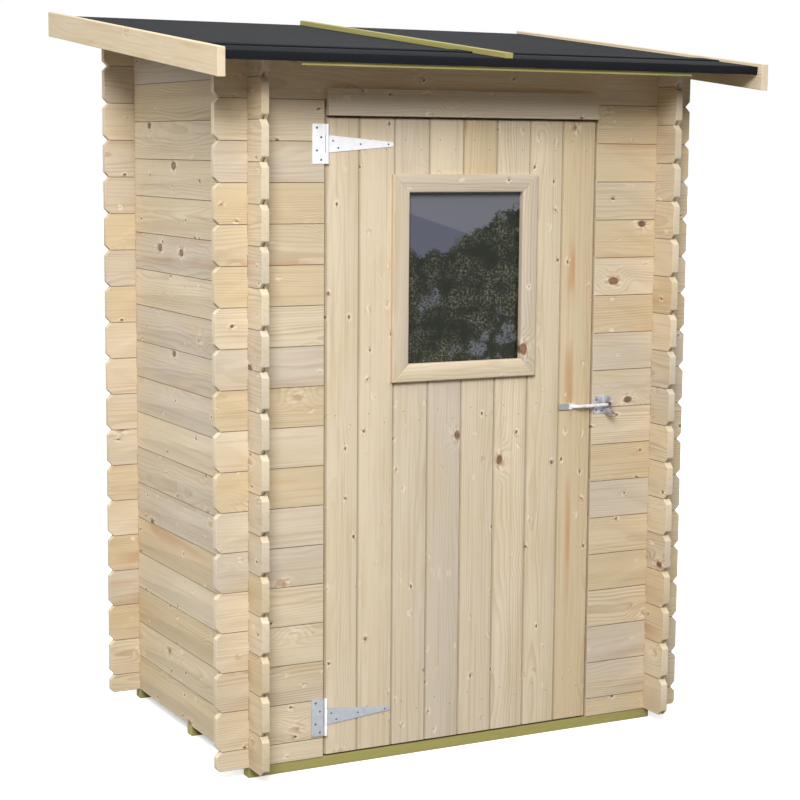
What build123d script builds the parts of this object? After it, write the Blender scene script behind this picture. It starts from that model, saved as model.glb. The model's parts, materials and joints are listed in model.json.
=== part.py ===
from build123d import *
from functools import lru_cache
import math
import os

# A small wooden garden shed of interlocking logs, with a lean-to roof that falls
# towards the door. Millimetres, +Z up, the front faces -Y. The ground is z = 0 and the
# origin is the middle of the roof's footprint.

# Driving dimensions: the logs
log_cover = 96.0
log_thickness = 19.0
tongue_width = 6.0
tongue_height = 6.0
groove_side_play = 0.3
groove_end_play = 1.0
end_chamfer = 13.0
sill_chamfer = 7.0
notch_play = 0.2

# Driving dimensions: the walls
wall_width = 1156.0
wall_depth = 776.0
log_projection = 82.0
courses_beside_door = 16
top_log_extra = 6.0
shortest_log_end = 8.0

# Driving dimensions: the base
joist_height = 26.0
joist_width = 31.0
joist_set_back = 2.0
joist_back_reach = 9.0
floor_board_thickness = 16.0
floor_board_count = 10
floor_board_gap = 4.0
floor_wall_gap = 1.0

# Driving dimensions: the doorway and its frame
door_centre = -2.0
door_width = 750.0
door_gap = 5.0
door_sill_gap = 5.0
header_height = 64.0
header_thickness = 16.0
header_drop = 36.0
header_side_cover = 1.0
post_width = 40.0
post_thickness = 19.0
post_reveal = 9.0

# Driving dimensions: the door leaf
door_board_thickness = 14.0
door_board_cover = 94.5
door_board_bevel = 3.0
door_first_board = 86.5
door_narrowest_board = 47.0
door_tongue_width = 4.5
door_tongue_length = 4.0
ledge_width = 88.0
ledge_thickness = 18.0
ledge_end_gap = 30.0
brace_width = 70.0

# Driving dimensions: the window in the door
window_centre = -3.0
window_width = 404.0
window_height = 502.0
window_head_gap = 26.0
window_foot_gap = 40.0
window_member = 44.0
window_member_depth = 12.0
window_lip = 5.0
window_lip_depth = 5.0
window_arris = 2.0
glass_thickness = 3.0
glass_play = 1.0
bead_width = 26.0
bead_thickness = 9.0

# Driving dimensions: the hinges
hinge_plate_width = 33.0
hinge_plate_height = 93.0
hinge_plate_thickness = 2.0
strap_length = 176.0
strap_root_width = 41.0
strap_tip_width = 11.0
knuckle_radius = 4.0
pin_radius = 2.3
pin_play = 0.08
knuckle_play = 0.4
upper_hinge_drop = 61.0
lower_hinge_rise = 95.0

# Driving dimensions: the latch
latch_height = 824.0
striker_plate_length = 44.0
striker_plate_height = 15.0
striker_plate_thickness = 4.0
striker_corner_radius = 3.0
striker_inset = 54.0
rod_radius = 4.5
rod_stand_off = 12.0
catch_plate_width = 33.0
catch_plate_height = 46.0
catch_plate_thickness = 2.5
catch_corner_radius = 9.0
catch_side_gap = 3.0
cheek_depth = 38.0
cheek_nose_radius = 18.0
mouth_play = 4.0
pawl_thickness = 4.0
pawl_gap = 5.0
pawl_width = 7.0
pawl_reach = 30.0
pawl_drop = 37.0
pawl_outer_bulge = 9.5
pawl_inner_bulge = 8.5
pawl_eye_radius = 6.0
pawl_pivot_rise = 14.5
pawl_pivot_depth = 14.0
rivet_radius = 2.5
rivet_play = 0.1
rivet_head = 3.0
pawl_side_play = 0.2

# Driving dimensions: the roof
roof_pitch = 6.7
roof_board_cover = 96.0
roof_board_count = 15
roof_board_thickness = 16.0
roof_tongue_width = 5.0
roof_tongue_length = 5.0
roof_board_bevel = 2.0
barge_front_reach = 216.0
barge_back_reach = 201.0
barge_width = 64.0
barge_thickness = 19.0
barge_upstand = 7.5
board_set_back = 22.0
felt_thickness = 3.0
felt_fold = 20.0
felt_front_strip = 158.0
felt_overlap = 80.0
batten_width = 20.0
batten_thickness = 10.0
eave_batten_length = 1053.0
eave_batten_set_back = 4.0

# Levels and planes that follow from them
pitch = math.radians(roof_pitch)
slope = math.tan(pitch)
barge_length = barge_front_reach + wall_depth + barge_back_reach
front_y = barge_front_reach - barge_length / 2
back_y = front_y + wall_depth
half_width = wall_width / 2
base_z = joist_height
opening_top = base_z + (courses_beside_door + 0.5) * log_cover
front_wall_top = opening_top + log_cover + top_log_extra
inner_front_y = front_y + log_thickness
inner_back_y = back_y - log_thickness
inner_half_width = half_width - log_thickness
door_left = door_centre - door_width / 2
door_right = door_centre + door_width / 2
opening_left = door_left - door_gap
opening_right = door_right + door_gap
header_bottom = opening_top - header_drop
door_top = header_bottom - door_gap
door_bottom = base_z + door_sill_gap
door_back_y = front_y + door_board_thickness
upper_hinge_z = door_top - upper_hinge_drop
lower_hinge_z = door_bottom + lower_hinge_rise
window_top = upper_hinge_z - ledge_width / 2 - window_head_gap
window_foot = window_top - window_height
middle_ledge_z = window_foot - window_foot_gap - ledge_width / 2
groove_width = tongue_width + 2 * groove_side_play
groove_depth = tongue_height + groove_end_play

# How far a cutting shape runs past what it cuts
margin = 5.0

nodes = {}


def keep(name, solids):
    """Store a named piece, or like pieces that do not touch each other."""
    nodes[name] = solids if isinstance(solids, list) else [solids]


def box(x, y, z):
    """A box from three (low, high) pairs."""
    size = [high - low for low, high in (x, y, z)]
    middle = [(high + low) / 2 for low, high in (x, y, z)]
    return Pos(*middle) * Box(*size)


def grow(span, by):
    """A (low, high) pair moved outward at both ends."""
    return (span[0] - by, span[1] + by)


def prism(points, along):
    """A straight solid: a closed outline of 3-D points pushed along a vector."""
    face = make_face(Polyline(*points, close=True))
    return extrude(face, amount=Vector(*along).length, dir=along)


def cylinder(start, along, radius):
    """A round bar from a start point along a vector."""
    axis = Vector(*along)
    return Plane(origin=start, z_dir=axis) * Cylinder(
        radius, axis.length, align=(Align.CENTER, Align.CENTER, Align.MIN)
    )


def level(courses):
    """Height of a place that is so many log heights above the walls' foot."""
    return base_z + courses * log_cover


def roof_underside(y):
    """Height of the underside of the roof boards above a place in the plan."""
    return front_wall_top + (y - front_y) * slope


def above_roof(y_low, y_high):
    """All the space over the roof boards' underside, to cut the wall tops with."""
    reach = half_width + log_projection + margin
    top = roof_underside(y_high) + 2 * log_cover
    outline = [
        (-reach, y_low, roof_underside(y_low)),
        (-reach, y_high, roof_underside(y_high)),
        (-reach, y_high, top),
        (-reach, y_low, top),
    ]
    return prism(outline, (2 * reach, 0, 0))


def log_elevation(low, high, height, neck, crossings, chamfers):
    """Outline of a log seen from its side, with its corner notches, as (run, height).

    chamfers gives (lower, upper) for the low end and for the high end.
    """
    (low_under, low_over), (high_under, high_over) = chamfers
    half = log_thickness / 2 + notch_play
    under = [(low, low_under), (low + low_under, 0)]
    over = [(low + low_over, height), (low, height - low_over)]
    for crossing in crossings:
        left, right = crossing - half, crossing + half
        if neck[0] > 0:
            under += [(left, 0), (left, neck[0]), (right, neck[0]), (right, 0)]
        if neck[1] < height:
            over = [(right, height), (right, neck[1]), (left, neck[1]), (left, height)] + over
    under += [(high - high_under, 0), (high, high_under)]
    over = [(high, height - high_over), (high - high_over, height)] + over
    return list(dict.fromkeys(under + over))


@lru_cache(maxsize=None)
def log_shape(low, high, height, neck, crossings, chamfers, grooved, tongued):
    """A log lying along X from its foot at z = 0, its faces at y = 0 and its thickness.

    Its tongue and groove run from one corner notch to the other, or to a square end.
    """
    outline = log_elevation(low, high, height, neck, crossings, chamfers)
    solid = prism([(run, 0, z) for run, z in outline], (0, log_thickness, 0))
    half = log_thickness / 2 + notch_play
    start, end = low, high
    for crossing in crossings:
        if crossing < (low + high) / 2:
            start = crossing + half
        else:
            end = crossing - half
    middle = log_thickness / 2
    if grooved:
        across = (middle - groove_width / 2, middle + groove_width / 2)
        solid -= box((start - half, end + half), across, (-margin, groove_depth))
    if tongued:
        across = (middle - tongue_width / 2, middle + tongue_width / 2)
        solid += box((start, end), across, (height - margin, height + tongue_height))
    return solid


class Wall:
    """One wall: the plane its logs stand in, their reach and where other walls cross."""

    def __init__(self, origin, along, low, high, crossings):
        self.plane = Plane(origin=origin, x_dir=along, z_dir=(0, 0, 1))
        self.low = low
        self.high = high
        self.crossings = crossings

    def log(self, bottom, height, low=None, high=None, neck=(log_cover / 4, 3 * log_cover / 4),
            chamfers=(end_chamfer, end_chamfer), grooved=True, tongued=True):
        """A log with its foot at a height. An end that is given here is cut square."""
        low_chamfers = chamfers if low is None else (0, 0)
        high_chamfers = chamfers if high is None else (0, 0)
        low = self.low if low is None else low
        high = self.high if high is None else high
        crossed = tuple(place for place in self.crossings if low < place < high)
        shape = log_shape(low, high, height, neck, crossed, (low_chamfers, high_chamfers),
                          grooved, tongued)
        return self.plane * Pos(0, 0, bottom) * shape


log_reach_x = half_width + log_projection
log_ends_y = (front_y - log_projection, back_y + log_projection)
side_walls_x = (-half_width + log_thickness / 2, half_width - log_thickness / 2)
cross_walls_y = (front_y + log_thickness / 2, back_y - log_thickness / 2)
front_wall = Wall((0, front_y, 0), (1, 0, 0), -log_reach_x, log_reach_x, side_walls_x)
back_wall = Wall((0, inner_back_y, 0), (1, 0, 0), -log_reach_x, log_reach_x, side_walls_x)
left_wall = Wall((-inner_half_width, 0, 0), (0, 1, 0), *log_ends_y, cross_walls_y)
right_wall = Wall((half_width, 0, 0), (0, 1, 0), *log_ends_y, cross_walls_y)


def split(name, logs):
    """Put every second log in one node, so that no two in a node touch."""
    keep(name + "_logs_odd", logs[0::2])
    keep(name + "_logs_even", logs[1::2])


def cross_wall_log(wall, course, **ends):
    """A log of the front or back wall. These walls start with half a log."""
    if course == 0:
        return wall.log(base_z, log_cover / 2, neck=(0, log_cover / 4),
                        chamfers=(sill_chamfer, end_chamfer), grooved=False, **ends)
    return wall.log(level(course - 0.5), log_cover, **ends)


def top_cross_log(wall, course, outer, inner):
    """The highest log of the front or back wall, planed to the pitch of the roof."""
    bottom = level(course - 0.5)
    height = roof_underside(max(outer, inner)) + margin - bottom
    blank = wall.log(bottom, height, chamfers=(end_chamfer, 0), tongued=False)
    return blank - above_roof(min(outer, inner) - margin, max(outer, inner) + margin)


def build_front_wall():
    """Short logs on each side of the doorway and one long log over it."""
    courses = range(courses_beside_door + 1)
    split("front_wall_left", [cross_wall_log(front_wall, c, high=opening_left) for c in courses])
    split("front_wall_right", [cross_wall_log(front_wall, c, low=opening_right) for c in courses])
    top = top_cross_log(front_wall, courses_beside_door + 1, front_y, inner_front_y)
    keep("front_wall_top_log", top)


def build_back_wall():
    """Whole logs up to the roof, the top one planed to the pitch."""
    logs = []
    course = 0
    while level(course + 0.5) + tongue_height + margin < roof_underside(back_y):
        logs.append(cross_wall_log(back_wall, course))
        course += 1
    logs.append(top_cross_log(back_wall, course, back_y, inner_back_y))
    split("back_wall", logs)


def build_side_wall(name, wall):
    """Whole logs, then logs cut off along the roof, the last one a wedge."""
    low, high = log_ends_y
    roof = above_roof(low - margin, high + margin)
    logs = []
    course = 0
    while level(course) + shortest_log_end < roof_underside(high):
        start = front_y + (level(course) + shortest_log_end - front_wall_top) / slope
        if level(course + 1) + tongue_height < roof_underside(low):
            logs.append(wall.log(level(course), log_cover))
        else:
            blank = wall.log(level(course), log_cover, low=start if start > low else None,
                             chamfers=(end_chamfer, 0))
            logs.append(blank - roof)
        course += 1
    split(name, logs)


def build_base():
    """Three treated joists under the walls, and floor boards across them."""
    middle = (front_y + back_y) / 2
    front = front_y + joist_set_back
    back = back_y + joist_back_reach - joist_width
    places = (("front", front), ("middle", middle - joist_width / 2), ("back", back))
    for name, y in places:
        span = (-half_width, half_width)
        joist = box(span, (y, y + joist_width), (0, joist_height))
        keep("joist_" + name, joist)
    reach = inner_half_width - floor_wall_gap
    spacing = (2 * reach + floor_board_gap) / floor_board_count
    lengthwise = (inner_front_y + floor_wall_gap, inner_back_y - floor_wall_gap)
    height = (base_z, base_z + floor_board_thickness)
    boards = []
    for number in range(floor_board_count):
        x = -reach + number * spacing
        boards.append(box((x, x + spacing - floor_board_gap), lengthwise, height))
    keep("floor_boards", boards)


def build_doorway():
    """The inner posts and head that the leaf closes against, and the header board."""
    floor_top = base_z + floor_board_thickness
    depth = (inner_front_y, inner_front_y + post_thickness)
    head_bottom = door_top - post_reveal
    left = (door_left + post_reveal - post_width, door_left + post_reveal)
    right = (door_right - post_reveal, door_right - post_reveal + post_width)
    keep("door_post_left", box(left, depth, (floor_top, head_bottom)))
    keep("door_post_right", box(right, depth, (floor_top, head_bottom)))
    head_top = opening_top + post_width / 2
    keep("door_head", box((left[0], right[1]), depth, (head_bottom, head_top)))
    span = (door_left - header_side_cover, door_right - header_side_cover)
    header = box(span, (front_y - header_thickness, front_y),
                 (header_bottom, header_bottom + header_height))
    keep("door_header_board", header)


def board_section(width, thickness, tongue, length, bevel, has_groove, has_tongue):
    """Outline of a tongued and grooved board, as (across, through its thickness)."""
    middle = thickness / 2
    half = tongue / 2
    play = groove_side_play / 2
    outline = [(bevel, 0), (width - bevel, 0), (width, bevel)]
    if has_tongue:
        outline += [(width, middle - half), (width + length, middle - half)]
        outline += [(width + length, middle + half), (width, middle + half)]
    outline += [(width, thickness), (0, thickness)]
    if has_groove:
        depth = length + groove_end_play / 2
        outline += [(0, middle + half + play), (depth, middle + half + play)]
        outline += [(depth, middle - half - play), (0, middle - half - play)]
    outline += [(0, bevel)]
    return outline


# The clear opening inside the window's frame, and the larger hole through the boards
clear_x = grow((window_centre - window_width / 2, window_centre + window_width / 2),
               -window_member)
clear_z = grow((window_foot, window_top), -window_member)
hole_x = grow(clear_x, window_lip)
hole_z = grow(clear_z, window_lip)


def build_door_leaf():
    """Upright tongued boards on three ledges and a brace, cut for the window."""
    hole = box(hole_x, (front_y - margin, door_back_y + margin), hole_z)
    edges = [door_left, door_left + door_first_board]
    while edges[-1] + door_board_cover + door_narrowest_board < door_right:
        edges.append(edges[-1] + door_board_cover)
    edges.append(door_right)
    boards = []
    last = len(edges) - 2
    for number, (low, high) in enumerate(zip(edges, edges[1:])):
        section = board_section(high - low, door_board_thickness, door_tongue_width,
                                door_tongue_length, door_board_bevel,
                                number > 0, number < last)
        outline = [(low + across, front_y + depth, door_bottom) for across, depth in section]
        board = prism(outline, (0, 0, door_top - door_bottom))
        boards.append((board - hole).solids())
    keep("door_boards_odd", [piece for pieces in boards[0::2] for piece in pieces])
    keep("door_boards_even", [piece for pieces in boards[1::2] for piece in pieces])

    depth = (door_back_y, door_back_y + ledge_thickness)
    left, right = door_left + ledge_end_gap, door_right - ledge_end_gap
    middles = (lower_hinge_z, middle_ledge_z, upper_hinge_z)
    spans = [grow((z, z), ledge_width / 2) for z in middles]
    keep("door_ledges", [box((left, right), depth, span) for span in spans])

    low_z, high_z = spans[0][1], spans[1][0]
    rise = high_z - low_z
    across = brace_width * math.hypot(right - left - brace_width, rise) / rise
    corners = [(left, low_z), (left + across, low_z), (right, high_z), (right - across, high_z)]
    outline = [(x, door_back_y, z) for x, z in corners]
    keep("door_brace", prism(outline, (0, ledge_thickness, 0)))


def mitred_frame(section):
    """Two stiles and two rails round the window's clear opening, mitred at its corners.

    section is the outline across a member, as (outward from the opening, y).
    """
    reach = max(out for out, _ in section)
    near = min(y for _, y in section) - margin
    far = max(y for _, y in section) + margin
    outer_x, outer_z = grow(clear_x, reach), grow(clear_z, reach)
    half_x = (outer_x[1] - outer_x[0]) / 2
    half_z = (outer_z[1] - outer_z[0]) / 2
    middle_x, middle_z = outer_x[0] + half_x, outer_z[0] + half_z
    stiles, rails = [], []
    for side, inner, outer in ((-1, clear_x[0], outer_x[0]), (1, clear_x[1], outer_x[1])):
        member = prism([(inner + side * out, y, outer_z[0]) for out, y in section],
                       (0, 0, 2 * half_z))
        corners = [(outer, near, outer_z[0]), (outer, near, outer_z[1]),
                   (outer - side * half_z, near, middle_z)]
        stiles.append(member & prism(corners, (0, far - near, 0)))
    for side, inner, outer in ((-1, clear_z[0], outer_z[0]), (1, clear_z[1], outer_z[1])):
        member = prism([(outer_x[0], y, inner + side * out) for out, y in section],
                       (2 * half_x, 0, 0))
        corners = [(outer_x[0], near, outer), (outer_x[1], near, outer),
                   (middle_x, near, outer - side * half_x)]
        rails.append(member & prism(corners, (0, far - near, 0)))
    return stiles, rails


def build_window():
    """A mitred frame on the face of the door, one pane, and beads behind it."""
    front = front_y - window_member_depth
    glass_front = front_y + window_lip_depth
    glass_back = glass_front + glass_thickness
    moulding = [
        (0, front + window_arris), (window_arris, front),
        (window_member - window_arris, front), (window_member, front + window_arris),
        (window_member, front_y), (window_lip, front_y),
        (window_lip, glass_front), (0, glass_front),
    ]
    stiles, rails = mitred_frame(moulding)
    keep("window_frame_stiles", stiles)
    keep("window_frame_rails", rails)

    edge = window_lip - glass_play
    pane = box(grow(clear_x, edge), (glass_front, glass_back), grow(clear_z, edge))
    keep("window_glass", pane)

    bead_back = door_back_y + bead_thickness
    bead = [
        (0, glass_back), (edge, glass_back), (edge, door_back_y),
        (window_lip + bead_width, door_back_y), (window_lip + bead_width, bead_back),
        (0, bead_back),
    ]
    stiles, rails = mitred_frame(bead)
    keep("window_bead_stiles", stiles)
    keep("window_bead_rails", rails)


def build_hinge(name, z):
    """A strap hinge: a plate on the logs and a tapered strap on the door.

    Returns the pin that the two turn on.
    """
    axis_x = door_left
    axis_y = front_y - knuckle_radius
    face = front_y - hinge_plate_thickness
    plate_z = grow((z, z), hinge_plate_height / 2)
    strap_z = grow((z, z), strap_root_width / 2)
    bore = cylinder((axis_x, axis_y, plate_z[0] - margin),
                    (0, 0, hinge_plate_height + 2 * margin), pin_radius + pin_play)

    plate = box((axis_x - knuckle_radius - hinge_plate_width, axis_x), (face, front_y), plate_z)
    plate += cylinder((axis_x, axis_y, plate_z[0]), (0, 0, hinge_plate_height), knuckle_radius)
    room = box((axis_x - knuckle_radius - knuckle_play, axis_x + knuckle_radius + margin),
               (axis_y - knuckle_radius - margin, front_y + margin),
               grow(strap_z, knuckle_play))
    keep(name + "_hinge_plate", plate - [room, bore])

    tip = strap_tip_width / 2
    tip_x = axis_x + strap_length - tip
    outline = [
        Line((tip_x, -tip), (axis_x, -strap_root_width / 2)),
        Line((axis_x, -strap_root_width / 2), (axis_x, strap_root_width / 2)),
        Line((axis_x, strap_root_width / 2), (tip_x, tip)),
        ThreePointArc((tip_x, tip), (tip_x + tip, 0), (tip_x, -tip)),
    ]
    standing = Plane(origin=(0, front_y, z), x_dir=(1, 0, 0), z_dir=(0, -1, 0))
    strap = extrude(standing * make_face(outline), amount=hinge_plate_thickness)
    strap += cylinder((axis_x, axis_y, strap_z[0]), (0, 0, strap_root_width), knuckle_radius)
    keep(name + "_hinge_strap", strap - bore)
    return cylinder((axis_x, axis_y, plate_z[0]), (0, 0, hinge_plate_height), pin_radius)


def build_striker(z, rod_end):
    """The plate on the door's edge, with the round bar that reaches over to the catch."""
    plate_end = door_right - striker_inset
    face = front_y - striker_plate_thickness
    rod_y = front_y - rod_stand_off
    plate = box((plate_end - striker_plate_length, plate_end), (face, front_y),
                grow((z, z), striker_plate_height / 2))
    plate = fillet(plate.edges().filter_by(Axis.Y), striker_corner_radius)
    root_x = plate_end - rod_radius
    bend_x = plate_end + rod_stand_off
    path = Polyline((root_x, front_y, z), (bend_x, rod_y, z), (rod_end, rod_y, z))
    start = Plane(origin=path @ 0, z_dir=path % 0)
    rod = sweep(start * Circle(rod_radius), path=path, transition=Transition.RIGHT)
    behind = box((plate_end - striker_plate_length, rod_end), (front_y, front_y + margin),
                 grow((z, z), striker_plate_height))
    keep("striker_bar", plate + rod - behind)


def build_catch(z, cheek_x, pivot, pawl_x):
    """The plate on the logs with its upright cheek, mouth and shouldered rivet."""
    upright = grow((z, z), catch_plate_height / 2)
    outer_x = cheek_x + catch_plate_thickness
    flat = box((cheek_x - catch_plate_width, cheek_x),
               (front_y - catch_plate_thickness, front_y), upright)
    corners = flat.edges().filter_by(Axis.Y).sort_by(Axis.X)[:2]
    flat = fillet(corners, catch_corner_radius)
    cheek = box((cheek_x, outer_x), (front_y - cheek_depth, front_y), upright)
    nose = cheek.edges().filter_by(Axis.X).sort_by(Axis.Y)[:2]
    cheek = fillet(nose, cheek_nose_radius)
    mouth = rod_radius + mouth_play
    rod_y = front_y - rod_stand_off
    slot = box(grow((cheek_x, outer_x), margin), (front_y - cheek_depth - margin, rod_y),
               grow((z, z), mouth))
    end = cylinder((cheek_x - margin, rod_y, z),
                   (catch_plate_thickness + 2 * margin, 0, 0), mouth)
    shoulder_end = pawl_x - pawl_side_play
    shoulder = cylinder((outer_x, *pivot), (shoulder_end - outer_x, 0, 0), rod_radius)
    rivet_end = pawl_x + pawl_thickness + rivet_head
    rivet = cylinder((outer_x, *pivot), (rivet_end - outer_x, 0, 0), rivet_radius)
    keep("latch_catch", flat + cheek - [slot, end] + shoulder + rivet)


def build_pawl(pivot, pawl_x):
    """The curved tail that hangs from the rivet and swings outward."""
    outer_foot = (pawl_reach, pawl_drop)
    inner_foot = (pawl_reach - pawl_width, pawl_drop)
    outline = [
        SagittaArc((0, -pawl_eye_radius), outer_foot, pawl_outer_bulge),
        Line(outer_foot, inner_foot),
        SagittaArc(inner_foot, (0, pawl_eye_radius), -pawl_inner_bulge),
        ThreePointArc((0, pawl_eye_radius), (-pawl_eye_radius, 0), (0, -pawl_eye_radius)),
    ]
    hanging = Plane(origin=(pawl_x, *pivot), x_dir=(0, -1, 0), z_dir=(1, 0, 0))
    face = make_face(outline) - Circle(rivet_radius + rivet_play)
    keep("latch_pawl", extrude(hanging * face, amount=pawl_thickness, dir=(1, 0, 0)))


def build_latch():
    """A bar on the door that swings into a catch on the logs, and a hanging pawl."""
    z = base_z + latch_height
    cheek_x = opening_right + catch_side_gap + catch_plate_width
    rod_end = cheek_x + catch_plate_thickness
    pawl_x = rod_end + pawl_gap
    pivot = (front_y - pawl_pivot_depth, z + pawl_pivot_rise)
    build_striker(z, rod_end)
    build_catch(z, cheek_x, pivot, pawl_x)
    build_pawl(pivot, pawl_x)


def build_roof():
    """Boards from back to front, felt, battens, and a barge board at each side."""
    front_edge = front_y - barge_front_reach + board_set_back
    back_edge = back_y + barge_back_reach - board_set_back
    length = (back_edge - front_edge) / math.cos(pitch)
    roof = Plane(origin=(0, front_edge, roof_underside(front_edge)), x_dir=(1, 0, 0),
                 z_dir=(0, -math.sin(pitch), math.cos(pitch)))
    half = roof_board_count * roof_board_cover / 2
    boards = []
    for number in range(roof_board_count):
        section = board_section(roof_board_cover, roof_board_thickness, roof_tongue_width,
                                roof_tongue_length, roof_board_bevel,
                                number > 0, number < roof_board_count - 1)
        low = -half + number * roof_board_cover
        outline = [(low + across, 0, up) for across, up in section]
        boards.append(roof * prism(outline, (0, length, 0)))
    keep("roof_boards_odd", boards[0::2])
    keep("roof_boards_even", boards[1::2])

    under = roof_board_thickness
    top = under + felt_thickness
    seam = felt_front_strip
    lap = seam + felt_overlap
    lower = [(-felt_thickness, top), (lap, top), (lap, under), (0, under),
             (0, top - felt_fold), (-felt_thickness, top - felt_fold)]
    upper = [(seam, top), (seam, top + felt_thickness), (lap, top + felt_thickness),
             (lap + 2 * felt_thickness, top), (length + felt_thickness, top),
             (length + felt_thickness, top - felt_fold), (length, top - felt_fold),
             (length, under), (lap, under), (lap, top)]
    strips = []
    for name, outline in (("felt_lower_strip", lower), ("felt_upper_strip", upper)):
        points = [(-half, y, up) for y, up in outline]
        strip = roof * prism(points, (2 * half, 0, 0))
        strips.append(strip)
        keep(name, strip)

    batten = roof * box(grow((0, 0), batten_width / 2), (0, length),
                        (top, top + felt_thickness + batten_thickness))
    keep("roof_batten", batten - strips[1])
    span = grow((0, 0), eave_batten_length / 2)
    front = (eave_batten_set_back, eave_batten_set_back + batten_width)
    back = (length - front[1], length - front[0])
    for name, place in (("eave_batten_front", front), ("eave_batten_back", back)):
        keep(name, roof * box(span, place, (-batten_thickness, 0)))
    build_barge_boards(half, top)


def build_barge_boards(inner, cover):
    """Boards on the roof's side edges, cut plumb at both ends."""
    low_y = front_y - barge_front_reach
    high_y = back_y + barge_back_reach
    rise = (cover + barge_upstand) / math.cos(pitch)
    height = barge_width / math.cos(pitch)
    top_low = roof_underside(low_y) + rise
    top_high = roof_underside(high_y) + rise
    for name, x in (("left", -inner - barge_thickness), ("right", inner)):
        outline = [(x, low_y, top_low), (x, high_y, top_high),
                   (x, high_y, top_high - height), (x, low_y, top_low - height)]
        keep("barge_board_" + name, prism(outline, (barge_thickness, 0, 0)))


def main():
    build_base()
    build_front_wall()
    build_back_wall()
    build_side_wall("left_wall", left_wall)
    build_side_wall("right_wall", right_wall)
    build_doorway()
    build_door_leaf()
    build_window()
    pins = [build_hinge("upper", upper_hinge_z), build_hinge("lower", lower_hinge_z)]
    keep("hinge_pins", pins)
    build_latch()
    build_roof()
    os.makedirs("parts", exist_ok=True)
    for name, solids in nodes.items():
        shape = solids[0] if len(solids) == 1 else Compound(children=solids)
        export_step(shape, os.path.join("parts", name + ".step"))


main()
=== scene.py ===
import json
import math
import random
import bmesh
import bpy
from bpy.props import FloatProperty, FloatVectorProperty, PointerProperty
from mathutils import Matrix, Vector

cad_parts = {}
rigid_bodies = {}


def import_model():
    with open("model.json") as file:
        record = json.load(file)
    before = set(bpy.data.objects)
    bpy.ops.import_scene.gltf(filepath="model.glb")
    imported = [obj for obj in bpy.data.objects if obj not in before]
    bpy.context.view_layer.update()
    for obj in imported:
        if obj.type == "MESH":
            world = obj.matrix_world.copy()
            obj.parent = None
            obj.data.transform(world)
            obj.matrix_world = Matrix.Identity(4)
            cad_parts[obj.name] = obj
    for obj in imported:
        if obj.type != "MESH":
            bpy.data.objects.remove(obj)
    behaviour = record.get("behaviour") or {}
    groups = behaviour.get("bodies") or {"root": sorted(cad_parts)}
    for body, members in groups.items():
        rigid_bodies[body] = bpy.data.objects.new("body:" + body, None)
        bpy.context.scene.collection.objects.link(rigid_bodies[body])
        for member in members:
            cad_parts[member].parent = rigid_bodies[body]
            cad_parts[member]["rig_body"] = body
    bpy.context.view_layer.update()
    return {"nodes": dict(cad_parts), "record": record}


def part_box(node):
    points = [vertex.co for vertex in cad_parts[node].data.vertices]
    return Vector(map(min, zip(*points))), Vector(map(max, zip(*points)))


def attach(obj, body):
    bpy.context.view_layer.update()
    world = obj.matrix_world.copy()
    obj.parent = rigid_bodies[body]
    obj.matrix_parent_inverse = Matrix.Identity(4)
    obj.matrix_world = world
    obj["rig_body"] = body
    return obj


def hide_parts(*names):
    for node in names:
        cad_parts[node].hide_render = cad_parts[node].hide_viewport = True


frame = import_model()
nodes = frame["nodes"]

bl_info = {
    "name": "Log garden shed dresser",
    "version": (1, 0, 0),
    "blender": (4, 5, 0),
    "location": "View3D > Sidebar > Shed",
    "description": "Finishes for a small log-built garden shed: timber, felt, steel and glass",
    "category": "Object",
}

# Directions in the frame of the model: along the front, front to back, up, up the roof,
# and the way that the roof's upper face looks
ACROSS = Vector((1, 0, 0))
DEEP = Vector((0, 1, 0))
UP = Vector((0, 0, 1))
ROOF_PITCH = math.radians(6.7)
SLOPE = Vector((0, math.cos(ROOF_PITCH), math.sin(ROOF_PITCH)))
ROOF_OUT = Vector((0, -math.sin(ROOF_PITCH), math.cos(ROOF_PITCH)))

# What counts as one corner, as one flat face and as an edge to round
MERGE_DISTANCE = 0.00002
FLAT_ANGLE = math.radians(0.6)
SHARP_ANGLE = math.radians(28.0)

# Angles in degrees up to which neighbouring faces are shaded as one curve
SMOOTH_TIMBER = 20.0
SMOOTH_SHEET = 30.0
SMOOTH_TURNED = 35.0

# Sizes in metres of the logs' ends and of the rounding that isn't a setting
END_PROJECTION = 0.082
END_TOLERANCE = 0.03
SLIT_REACH = 0.6 * END_PROJECTION
SLIT_OVERRUN = 0.002
BARGE_ROUNDING = 0.0015
FELT_ROUNDING = 0.0012
STEEL_ROUNDING = 0.0004

# How strongly painted shade darkens the rounded long edges where neighbouring boards meet
LOG_JOINT_SHADE = 0.75
DOOR_JOINT_SHADE = 0.38
ROOF_JOINT_SHADE = 0.3

# Parts of a face's normal: more than the first along the grain makes it a board's end,
# and more than the second both across and outward makes it a rounded long edge
END_LEAN = 0.4
ARRIS_LEAN = 0.3

# Screws on the hinge plates and straps, as shares of the width or length and of half the
# height, and on the catch, in metres from its left edge and from its middle
PLATE_WIDTH = 0.033
PLATE_SCREWS = ((0.33, 0.80), (0.67, 0.33), (0.33, -0.33), (0.67, -0.80))
STRAP_LENGTH = 0.176
STRAP_HALF_HEIGHT = 0.0205
STRAP_SCREWS = ((0.09, 0.35), (0.167, -0.45), (0.50, 0.0), (0.92, 0.0))
STRAP_SCREW_SIZE = 0.85
CATCH_SCREWS = ((0.008, 0.013), (0.008, -0.013), (0.024, -0.016))

# Places on the steel: the hinge's barrel and leaf behind its foremost point, the strap's
# root inside the plate's right edge, the catch's sheet and the striker's flat grip
BARREL_DEPTH = 0.004
LEAF_DEPTH = 0.006
STRAP_INSET = 0.004
CATCH_THICKNESS = 0.0025
GRIP_LENGTH = 0.031

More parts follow.
